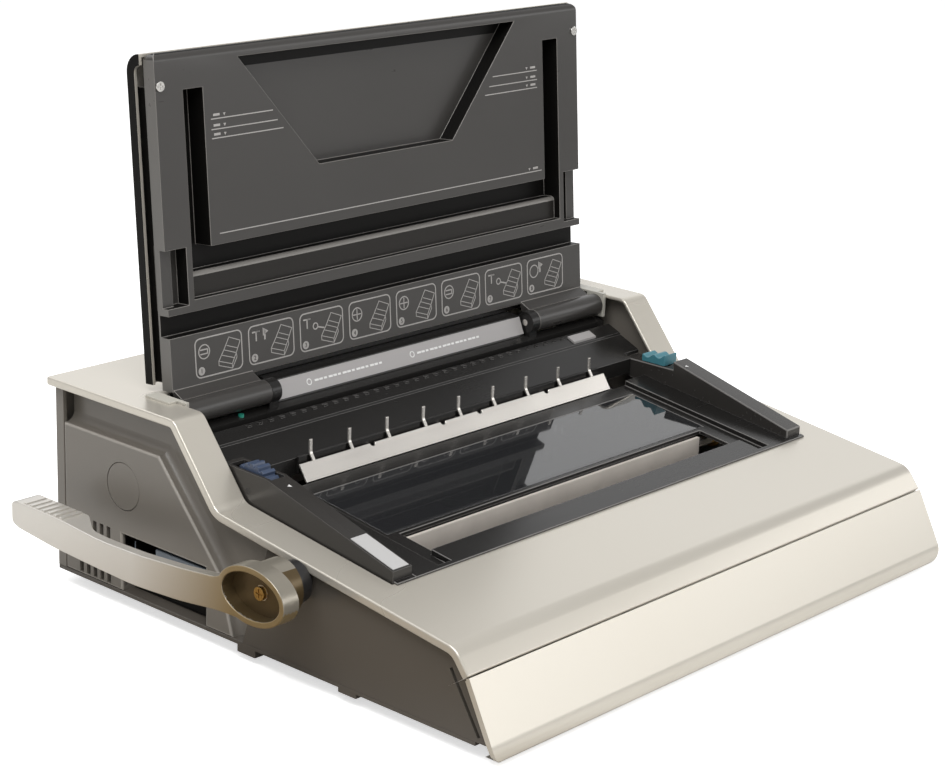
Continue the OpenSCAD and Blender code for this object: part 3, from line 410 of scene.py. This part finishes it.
def welded(node):
    """A copy of a solid's mesh with its triangles joined into whole faces."""
    shape = bmesh.new()
    shape.from_mesh(frame["nodes"][node].data)
    bmesh.ops.remove_doubles(shape, verts=shape.verts, dist=0.002 * MM)
    bmesh.ops.dissolve_limit(shape, angle_limit=radians(0.4), verts=shape.verts, edges=shape.edges)
    return shape


def bevel(shape, edges, width, segments=3, look=1):
    """Rounds these edges. The new faces get the piece's second finish, or the one asked for; a lighter second
    finish is a painted highlight.
    """
    made = bmesh.ops.bevel(shape, geom=edges, offset=width * MM, offset_type="OFFSET",
                           segments=segments, profile=0.5, affect="EDGES", clamp_overlap=True,
                           material=-1)
    for face in made["faces"]:
        face.material_index = look


def creases(shape, turn=28):
    """The edges that turn by more than this many degrees."""
    return [e for e in shape.edges if e.is_manifold and e.calc_face_angle() > radians(turn)]


# A face with many corners is as a rule a flat one with holes, and is shaded flat: smooth shading
# draws lines across it.
MANY, SHARP = 24, 40


def piece(name, shape, slot, body, *looks):
    """An object made from a bmesh, with its finishes in order, riding on a body of the machine."""
    for face in shape.faces:
        face.smooth = len(face.verts) < MANY
    for edge in shape.edges:
        edge.smooth = len(edge.link_faces) == 2 and edge.calc_face_angle() < radians(SHARP)
    mesh = bpy.data.meshes.new(name)
    shape.to_mesh(mesh)
    shape.free()
    made = bpy.data.objects.new(name, mesh)
    bpy.context.scene.collection.objects.link(made)
    for look in looks or (slot, slot):
        mesh.materials.append(finishes[look])
    made.modifiers.new("even_shading", "WEIGHTED_NORMAL").keep_sharp = True
    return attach(made, body)


body_of = {node: body for body, nodes in frame["record"]["behaviour"]["bodies"].items()
           for node in nodes}
# A lighter finish for these pieces' rounded edges, a painted highlight; on the jaw it is bright steel.
painted_highlight_rim_of = {"deck": "deck_edge", "left_rail": "deck_edge", "right_rail": "deck_edge",
          "lid_tray": "lid_edge", "punch_cover": "deck_edge", "left_side": "side_edge",
          "right_side": "side_edge", "closing_jaw": "steel"}
print(len(painted_highlight_rim_of), "pieces have rims of another finish")

# %% [markdown]
# Some faces of a piece carry painted light and shade: the lid's slots and deep recesses are painted
# black as shade, its step is painted darker as shade, its narrow sides are painted lighter as a sheen,
# and the drawer's finger pull and the lid cover's sides are painted black as shade. Each has its own
# rule for picking them, and a rule for the edges with a wider rounding. The rules are in millimetres
# of the machine or the lid.

# %% Marked faces and wide edges
# Indices of the marked finishes: a painted sheen on the lid's sides, painted shade in recesses and on the step.
PAINTED_FLANK_SHEEN, PAINTED_SHADE, STEP_SHADE = 2, 3, 4
TRAY_SIDE, TRAY_INNER, TRAY_FOOT, TRAY_END = 211.6, 209, 20, 214
SLOT_SIDE, SLOT_DEEP, GROOVE_DEEP, GRIP_END = 171.3, 12, 7, 209.5
STEP_LOW, STEP_AT, STEP_DEEP, TROUGH_END = 60, 78, 6, 95
PULL_SIDE, PULL_FROM, DRAWER_FOOT = -211, 129, 22
COVE_DEEP, LONG_EDGE, STEP_LONG, CORNER_LONG = 9, 15, 300, 5


def tray_marks(shape):
    """The tray's narrow sides are lighter, a painted sheen; its slots, recess walls and deep floors are black and
    the step below its trough darker, painted shade.
    """
    flat = LID.inverted()
    for plane, side in ((LID @ Vector((-SLOT_SIDE * MM, 0, 0)), (1, 0, 0)),
                        (LID @ Vector((SLOT_SIDE * MM, 0, 0)), (1, 0, 0)),
                        (LID @ Vector((0, GRIP_END * MM, 0)), LID.to_3x3() @ Vector((0, 1, 0)))):
        bmesh.ops.bisect_plane(shape, geom=shape.verts[:] + shape.edges[:] + shape.faces[:],
                               plane_co=plane, plane_no=side)
    for face in shape.faces:
        x, v, n = (flat @ face.calc_center_median()) / MM
        facing = (flat.to_3x3() @ face.normal).z
        plain = face.material_index == 0
        inside = v > TRAY_FOOT and abs(x) < TRAY_INNER and n < -0.2
        beyond = abs(x) > SLOT_SIDE or v > GRIP_END or STEP_AT < v < TROUGH_END
        sunk = n < -SLOT_DEEP and beyond or n < -GROOVE_DEEP and v < STEP_LOW
        # The tray's narrow sides are painted lighter, a painted sheen.
        if abs(face.normal.x) > 0.95 and abs(abs(x) - TRAY_SIDE) < 0.3:
            face.material_index = PAINTED_FLANK_SHEEN
        # The step face below the trough is painted darker, painted shade.
        elif plain and STEP_LOW < v < STEP_AT and abs(n + STEP_DEEP) < 0.3:
            face.material_index = STEP_SHADE
        # Slots, recess walls and deep floors are painted black, painted shade.
        elif plain and inside and (abs(facing) < 0.5 or sunk):
            face.material_index = PAINTED_SHADE


def pull_marks(shape):
    """The finger pull of the drawer is black inside, and so is the foot of its front: painted shade."""
    bmesh.ops.bisect_plane(shape, geom=shape.verts[:] + shape.edges[:] + shape.faces[:],
                           plane_co=at(0, 0, DRAWER_FOOT), plane_no=(0, 0, 1))
    for face in shape.faces:
        middle = (face.calc_center_median() - at(0, 0, 0)) / MM
        outside = middle.x < PULL_SIDE
        outward = face.normal.x < -0.9
        if (outside and middle.y > PULL_FROM and face.normal.x > -0.9
                or abs(middle.x - PULL_SIDE) < 2 and outward
                or outside and middle.z < DRAWER_FOOT):
            face.material_index = PAINTED_SHADE


def cover_marks(shape):
    """The lid's cover is silver on its back and black on its narrow sides, painted shade."""
    for face in shape.faces:
        if abs(face.normal.x) > 0.6:
            face.material_index = PAINTED_SHADE


marks_of = {"lid_tray": tray_marks, "chip_drawer": pull_marks, "lid_cover": cover_marks}


def outer_edges(shape):
    """The long edges of a side panel's outermost face."""
    reach = max(abs(v.co.x - LEVER.x) for v in shape.verts) - 0.05 * MM
    return [e for e in creases(shape) if e.calc_length() > LONG_EDGE * MM
            and min(abs(v.co.x - LEVER.x) for v in e.verts) > reach]


def step_edge(shape):
    """The long front edge of the step below the lid's trough."""
    flat = LID.inverted()
    return [e for e in creases(shape) if e.calc_length() > STEP_LONG * MM and all(
        abs((flat @ v.co).y / MM - STEP_AT) < 0.2 and abs((flat @ v.co).z / MM + STEP_DEEP) < 0.2
        for v in e.verts)]


def cove_edges(shape):
    """The inner corners between a side panel's raised pad and the finger channel round it."""
    reach = max(abs(v.co.x - LEVER.x) for v in shape.verts) - COVE_DEEP * MM
    return [e for e in creases(shape) if e.calc_length() > LONG_EDGE * MM
            and e.calc_face_angle_signed() < 0
            and all(abs(abs(v.co.x - LEVER.x) - reach) < 0.1 * MM for v in e.verts)]


def tray_corners(shape):
    """The two upper corners of the lid's tray."""
    flat = LID.inverted()
    return [e for e in creases(shape) if e.calc_length() > CORNER_LONG * MM and all(
        abs(abs((flat @ v.co).x / MM) - TRAY_SIDE) < 0.2 and (flat @ v.co).y / MM > TRAY_END
        for v in e.verts)]


# Look 1 gives an edge the piece's lighter rim finish, a painted highlight.
side_rounds = ((cove_edges, 7.5, 0), (outer_edges, 2.6, 1))
round_of = {"left_side": side_rounds, "right_side": side_rounds,
            "lid_tray": ((step_edge, 3, 1), (tray_corners, 6, 0))}
WIDE_SEGMENTS = 6
print(len(marks_of), "pieces have marked faces,", len(round_of), "have wide edges")

# %% [markdown]
# The edge widths below are in millimetres: about one on the big covers, less on thin metal.

# %% Softened pieces


def soften(node, width):
    """Rounds a solid's edges: first those with a wider rounding of their own, then the rest."""
    shape = welded(node)
    for chosen, wide, look in round_of.get(node, ()):
        edges = chosen(shape)
        print(node, chosen.__name__, len(edges))
        bevel(shape, edges, wide, WIDE_SEGMENTS, look)
    bevel(shape, creases(shape), width)
    looks = [finish_of[node], painted_highlight_rim_of.get(node, finish_of[node])]
    if node in marks_of:
        marks_of[node](shape)
        # The marked faces take a painted sheen, painted shade and a painted darker step.
        looks += ["strip_side", "recess_black", "step_dark"]
    made = piece(node + "_soft", shape, slot_of[node], body_of[node], *looks)
    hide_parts(node)
    print(node, "softened:", len(made.data.polygons), "faces")
    return made


edge_width = {
    "top_shell": 1.2, "front_panel": 1.2, "rear_cover": 0.8, "left_side": 0.5, "right_side": 0.5,
    "left_front_side": 0.8, "right_front_side": 0.8, "side_caps": 0.7, "base_pan": 0.6,
    "rubber_feet": 1.0, "deck": 0.5, "left_rail": 0.9, "right_rail": 0.9, "rail_label": 0.1,
    "window": 0.3, "hook_plate": 0.25, "hook_bar": 0.3, "punch_cover": 0.5, "throat_wall": 0.5,
    "label_plate": 0.15, "hinge_caps": 0.6, "closing_jaw": 0.4, "fixed_jaw": 0.4,
    "size_wheel": 0.25, "slide_button": 0.5, "punch_button": 0.5, "power_inlet": 0.5,
    "power_switch": 0.5, "chip_drawer": 0.8, "lid_cover": 1.2, "lid_tray": 0.7,
    "lever_collar": 0.8, "lever_screw": 0.2, "lid_screws": 0.15,
    "base_screws": 0.2, "wire_hooks": 0.3,
}
for node, width in edge_width.items():
    soften(node, width)

# %% [markdown]
# ## Lever
#
# The lever is one moulding: a long oval hub with a deep dish, an arm that sweeps down to the rear
# and a ribbed grip. Its edges are not all alike, so they are sorted by how deep they lie behind the
# outer face: the outline is well rounded, the dish has a smaller lip and the ribs are nearly sharp.

# %% Lever
HUB_LONG, HUB_HIGH, DISH_LIP = 27, 16.5, 1.2
ARM_FROM, ARM_DEEP, REAR_DEEP = 45, 6.9, 19.9
RIBS, RIB_FROM, RIB_TO = 54, 1.4, 18.6
OUTLINE_ROUND, DISH_ROUND, REAR_ROUND, RIB_ROUND = 2.4, 1.0, 1.6, 0.4


def in_dish(edge):
    middle = (edge.verts[0].co + edge.verts[1].co) / 2 - LEVER
    return (middle.y / (HUB_LONG * MM)) ** 2 + (middle.z / (HUB_HIGH * MM)) ** 2 < 1


def lever_piece():
    shape = welded("lever_arm")
    outer = min(v.co.x for v in shape.verts)
    ribs_from = max(v.co.y for v in shape.verts) - RIBS * MM

    def deep(edge):
        return [(v.co.x - outer) / MM for v in edge.verts]

    def behind(edge):
        return min(v.co.y for v in edge.verts)

    def front_edges(dished):
        return [e for e in creases(shape, 40) if max(deep(e)) < 0.1 and in_dish(e) == dished]

    bevel(shape, front_edges(False), OUTLINE_ROUND, 4)
    bevel(shape, front_edges(True), DISH_ROUND)
    bevel(shape, [e for e in creases(shape, 60) if min(deep(e)) > REAR_DEEP
                  or min(deep(e)) > ARM_DEEP and LEVER.y + ARM_FROM * MM < behind(e) < ribs_from],
          REAR_ROUND)
    bevel(shape, [e for e in creases(shape, 60) if behind(e) > ribs_from
                  and RIB_FROM < min(deep(e)) and max(deep(e)) < RIB_TO], RIB_ROUND, 2)
    # Faces in the dish get a darker paint, painted shade; faces that turn neither outward nor down get the side
    # paint, with a darker hub but without the painted brown reflection.
    for face in shape.faces:
        face.material_index = 0
        spot = (face.calc_center_median() - LEVER) / MM
        if (spot.y / HUB_LONG) ** 2 + (spot.z / HUB_HIGH) ** 2 < 1 and (
                spot.x > (outer - LEVER.x) / MM + DISH_LIP):
            face.material_index = 2
        elif face.normal.x > -0.6 and face.normal.z > -0.3:
            face.material_index = 1
    made = piece("lever_soft", shape, "lever_silver", "lever",
                 "lever_silver", "lever_side", "lever_dish_painted_shade")
    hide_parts("lever_arm")
    return made


print("lever:", len(lever_piece().data.polygons), "faces")

# %% [markdown]
# ## Printed marks
#
# The lid carries white lines for the sheet sizes and a row of eight framed pictures. Print has
# almost no height, so each mark is a thin solid a fifth of a millimetre proud of its face. Three
# small tools draw them all, in millimetres on a flat page: a bar, a prism and a closed band.

# %% Drawing tools
PRINT = 0.2


def bar(page, start, end, width):
    """A straight line of print between two points of the page."""
    a, b = Vector(start), Vector(end)
    turn = Matrix.Rotation(atan2(b.y - a.y, b.x - a.x), 4, "Z")
    size = Matrix.Diagonal(((b - a).length + width, width, PRINT, 1))
    bmesh.ops.create_cube(page, matrix=Matrix.Translation((*(a + b) / 2, PRINT / 2)) @ turn @ size)


def strokes(page, points, width):
    for start, end in zip(points, points[1:]):
        bar(page, start, end, width)


def prism(page, place, radius, sides=24, turn=0):
    """A filled dot, or a triangle with three sides."""
    bmesh.ops.create_cone(page, cap_ends=True, segments=sides, radius1=radius, radius2=radius,
                          depth=PRINT, matrix=Matrix.Translation((*place, PRINT / 2))
                          @ Matrix.Rotation(radians(turn), 4, "Z"))


def band(page, flat, line, place):
    """The border of a flat face as a raised band: the face is inset and its middle taken out."""
    ring = bmesh.ops.inset_region(flat, faces=flat.faces[:], thickness=line, use_boundary=True,
                                  use_even_offset=True)["faces"]
    bmesh.ops.delete(flat, geom=[f for f in flat.faces if f not in ring], context="FACES")
    raised = bmesh.ops.extrude_face_region(flat, geom=flat.faces[:])["geom"]
    bmesh.ops.translate(flat, vec=(0, 0, PRINT),
                        verts=[v for v in raised if isinstance(v, bmesh.types.BMVert)])
    bmesh.ops.recalc_face_normals(flat, faces=flat.faces[:])
    bmesh.ops.translate(flat, vec=(*place, 0), verts=flat.verts[:])
    mesh = bpy.data.meshes.new("band")
    flat.to_mesh(mesh)
    flat.free()
    page.from_mesh(mesh)
    bpy.data.meshes.remove(mesh)


def hoop(page, place, radius, line):
    flat = bmesh.new()
    bmesh.ops.create_circle(flat, cap_ends=True, segments=28, radius=radius)
    band(page, flat, line, place)


def frame_band(page, place, width, height, corner, line):
    flat = bmesh.new()
    bmesh.ops.create_grid(flat, x_segments=1, y_segments=1, size=0.5,
                          matrix=Matrix.Diagonal((width, height, 1, 1)))
    bmesh.ops.bevel(flat, geom=flat.verts[:], offset=corner, segments=5, profile=0.5,
                    affect="VERTICES", clamp_overlap=True, material=-1)
    band(page, flat, line, place)


def numeral(page, text, place, size):
    """A figure set in Blender's own face, made into mesh and laid on the page."""
    curve = bpy.data.curves.new("numeral", "FONT")
    curve.body, curve.size, curve.extrude = text, size, PRINT / 2
    curve.align_x, curve.align_y = "CENTER", "CENTER"
    letter = bpy.data.objects.new("numeral", curve)
    mesh = bpy.data.meshes.new_from_object(letter)
    mesh.transform(Matrix.Translation((*place, 1.5 * PRINT)))
    page.from_mesh(mesh)
    bpy.data.objects.remove(letter)
    bpy.data.curves.remove(curve)
    bpy.data.meshes.remove(mesh)


def laid(name, page, place, body, finish="print"):
    """Lays a finished page on a face of the machine."""
    bmesh.ops.transform(page, matrix=place @ Matrix.Scale(MM, 4), verts=page.verts[:])
    return piece(name, page, "rail_grey", body, finish)


print("bars, prisms, bands and numerals")

# %% [markdown]
# ## Sheet lines and pictures
#
# Three short lines at each side and one long line show where a sheet's edge goes. Below them, the
# eight steps of the work are drawn: every picture has the machine in outline, a sign for the step
# and the step's number. The pictures here are plain signs of our own.

# %% Lid print
MACHINE = [[(3, 2), (8, 10), (18, 6), (14, -2), (3, 2)], [(3, 2), (-2, -5), (10, -9), (14, -2)],
           [(-2, -5), (-2, -8), (10, -12), (10, -9)], [(10, -12), (14.5, -5), (14, -2)],
           [(6, 4.5), (15, 1.2)], [(1.5, -1.5), (12.3, -5.2)]]
FRAME_FIRST, FRAME_PITCH, FRAME_MID = -169.4, 48.3, 20.3
FRAME_WIDE, FRAME_HIGH, FRAME_CORNER, FRAME_LINE = 42.6, 27.6, 4.5, 0.9
SHEET_LINE, OUTLINE = 0.7, 0.55


def sheet_lines():
    page = bmesh.new()
    for v, inner in ((179, 110), (172, 106), (166, 101)):
        bar(page, (-165, v), (-inner, v), SHEET_LINE)
        bar(page, (inner + 4, v), (163.3, v), SHEET_LINE)
        for x, side in ((-153.5, -1), (152, 1)):
            prism(page, (x, v + 2.6), 1.3, 3, 180)
            bar(page, (x + side * 5, v + 2.6), (x + side * 9, v + 2.6), 1.6)
    bar(page, (-162.5, 102), (166.7, 102), SHEET_LINE)
    prism(page, (153, 104.6), 1.3, 3, 180)
    bar(page, (158, 104.6), (162, 104.6), 1.6)
    return laid("sheet_lines", page, LID, "lid")


def sign(page, x, v, step):
    """The small sign at the upper left of a picture."""
    if step in (1, 4, 5, 6, 8):
        hoop(page, (x - 13, v + 4), 5.2, 0.8)
    if step in (2, 8):
        prism(page, (x - 6, v + 8), 3.4, 3, -90)
        bar(page, (x - 6, v + 9), (x - 6, v + 3), 1.4)
    if step in (2, 3, 7):
        strokes(page, [(x - 17, v + 9), (x - 11, v + 9), (x - 14, v + 9), (x - 14, v + 3)], 1.1)
    if step in (1, 6):
        strokes(page, [(x - 16, v + 5.5), (x - 10, v + 5.5), (x - 10, v + 2.5),
                       (x - 16, v + 2.5)], 0.9)
    if step in (4, 5):
        strokes(page, [(x - 16.5, v + 4), (x - 9.5, v + 4)], 0.8)
        strokes(page, [(x - 13, v + 7.5), (x - 13, v + 0.5)], 0.8)
    if step in (3, 7):
        hoop(page, (x - 6, v + 3), 2.6, 0.8)
        bar(page, (x - 3.4, v + 2), (x + 2, v + 0.5), 1.1)


def step_pictures():
    page, figures = bmesh.new(), bmesh.new()
    for step in range(1, 9):
        x, v = FRAME_FIRST + (step - 1) * FRAME_PITCH, FRAME_MID
        frame_band(page, (x, v), FRAME_WIDE, FRAME_HIGH, FRAME_CORNER, FRAME_LINE)
        for line in MACHINE:
            strokes(page, [(x + dx + 1.5, v + dy) for dx, dy in line], OUTLINE)
        sign(page, x, v, step)
        prism(page, (x - 16, v - 9), 2.9)
        numeral(figures, str(step), (x - 16, v - 9), 4.4)
    laid("step_numbers", figures, LID, "lid", "lid_grey")
    return laid("step_pictures", page, LID, "lid")


print("lid print:", len(sheet_lines().data.polygons) + len(step_pictures().data.polygons), "faces")

# %% [markdown]
# ## Label and rail marks
#
# The grey label along the throat has two lines of small print; at this size they are read as grey
# bars, and are drawn as such. Two arrows on the rails show which way the wheel and the button go.
# A black strip closes the gap behind the throat, so that no light falls in below the lid: a dark sheet put where
# there is only shade, painted shade.

# %% Small print
LABEL_LEAN, RAIL_LEAN = 67.1, 14.9
SHADE_STRIP_SIZE = (424 * MM, 0.6 * MM, 2.6 * MM, 1)


def label_print():
    page = bmesh.new()
    for first in (-96, 8):
        hoop(page, (first, 0), 2.4, 0.7)
        for i in range(15):
            bar(page, (first + 6 + 4.6 * i, 0), (first + 8.4 + 4.6 * i - i % 3 * 0.6, 0), 1.5)
    place = Matrix.Translation(at(0, 122.3, 138.4)) @ Matrix.Rotation(radians(LABEL_LEAN), 4, "X")
    return laid("label_print", page, place, "body", "rail_grey")


def rail_arrows():
    slope = Matrix.Rotation(radians(RAIL_LEAN), 4, "X")
    made = []
    for name, x, y, z in (("left_arrow", -209, 22, 114.3), ("right_arrow", 205, 19, 113.5)):
        page = bmesh.new()
        prism(page, (0, 0), 1.8, 3, 90)
        made.append(laid(name, page, Matrix.Translation(at(x, y, z)) @ slope, "body", "rail_grey"))
    return made


def throat_seal():
    """A black strip that closes the gap between the throat and the rear top, below the lid: painted shade for the
    gap.
    """
    shape = bmesh.new()
    bmesh.ops.create_cube(shape, matrix=Matrix.Translation(at(0, 138.4, 147.7))
                          @ Matrix.Diagonal(SHADE_STRIP_SIZE))
    return piece("throat_seal", shape, "deck_black", "body")


throat_seal()
label_print()
print("seal, label print and", len(rail_arrows()), "arrows")

# %% [markdown]
# ## Studio
#
# The machine stands on a plain pale floor in soft light. The background is white to the camera and
# weaker as a light, so that the lamps do the modelling: one above, one above the rear, a weak one
# on the left, and three low ones that the silver paint mirrors. The floor is warm in reflections,
# and brown beside the lever, whose hub mirrors it.

# %% Floor and light
FILL, SHEEN = 0.38, 0.45
FLOOR_SIZE = 12
BROWN_AT, BROWN_FROM, BROWN_TO = (-430, -20, 0), 0.14, 0.36


def studio_world():
    world = bpy.data.worlds.new("studio")
    world.use_nodes = True
    tree = world.node_tree
    rays = tree.nodes.new("ShaderNodeLightPath")
    seen = Strand(rays.outputs["Is Camera Ray"])
    mirrored = Strand(rays.outputs["Is Glossy Ray"])
    join(tree.nodes["Background"].inputs["Strength"],
         FILL + (SHEEN - FILL) * mirrored + (1 - FILL) * seen)
    join(tree.nodes["Background"].inputs["Color"], (1, 1, 1, 1))
    return world


def softbox(name, place, target, size, power):
    lamp = bpy.data.lights.new(name, "AREA")
    lamp.shape = "RECTANGLE"
    lamp.size, lamp.size_y = size
    lamp.energy = power
    made = bpy.data.objects.new(name, lamp)
    aim = (place - target).to_track_quat("Z", "Y")
    made.matrix_world = Matrix.Translation(place) @ aim.to_matrix().to_4x4()
    bpy.context.scene.collection.objects.link(made)
    return made


def pale_floor():
    shape = bmesh.new()
    bmesh.ops.create_grid(shape, x_segments=1, y_segments=1, size=FLOOR_SIZE)
    mesh = bpy.data.meshes.new("floor")
    shape.to_mesh(mesh)
    shape.free()
    floor = bpy.data.objects.new("floor", mesh)
    material, shader, place = blank("pale_floor")
    rays = material.node_tree.nodes.new("ShaderNodeLightPath")
    seen = Strand(rays.outputs["Is Camera Ray"])
    mirrored = Strand(rays.outputs["Is Glossy Ray"])
    cloud = noise(place, 2, 2)
    far = place.node("VectorMath", {"operation": "DISTANCE"}, {0: place, 1: at(*BROWN_AT)},
                     out="Value")
    near = 1 - ramp(far, BROWN_FROM, BROWN_TO)
    white = mixed(cloud, (0.88, 0.88, 0.88, 1), (0.90, 0.90, 0.90, 1))
    plain = mixed(cloud, (0.66, 0.65, 0.63, 1), (0.70, 0.69, 0.67, 1))
    bright = mixed(near, (0.88, 0.87, 0.85, 1), (0.20, 0.13, 0.05, 1))
    warm = mixed(mirrored, plain, bright)
    feed(shader, Base_Color=mixed(seen, warm, white), Roughness=0.9,
         Emission_Color=mixed(seen, (0, 0, 0, 1), (1, 1, 1, 1)), Emission_Strength=0.62)
    mesh.materials.append(material)
    bpy.context.scene.collection.objects.link(floor)
    return floor


bpy.context.scene.world = studio_world()
bpy.context.scene.view_settings.view_transform = "Standard"
LIGHTS = (
    ("top_light", (-800, -400, 1800), (1.6, 1.2), 32),
    ("left_light", (-1500, -700, 1500), (1.4, 1.0), 4.5),
    ("rear_top_light", (-600, 1300, 1500), (1.8, 0.8), 7),
    ("front_light", (300, -2000, 800), (1.6, 0.8), 8),
    ("low_right_light", (1570, -1330, 700), (2.2, 0.7), 7),
    ("rear_right_light", (1570, 1200, 900), (2.2, 1.1), 5),
)
for name, place, size, power in LIGHTS:
    softbox(name, at(*place), at(0, 20, 130), size, power)
pale_floor()
print(len(LIGHTS), "softboxes and a floor")
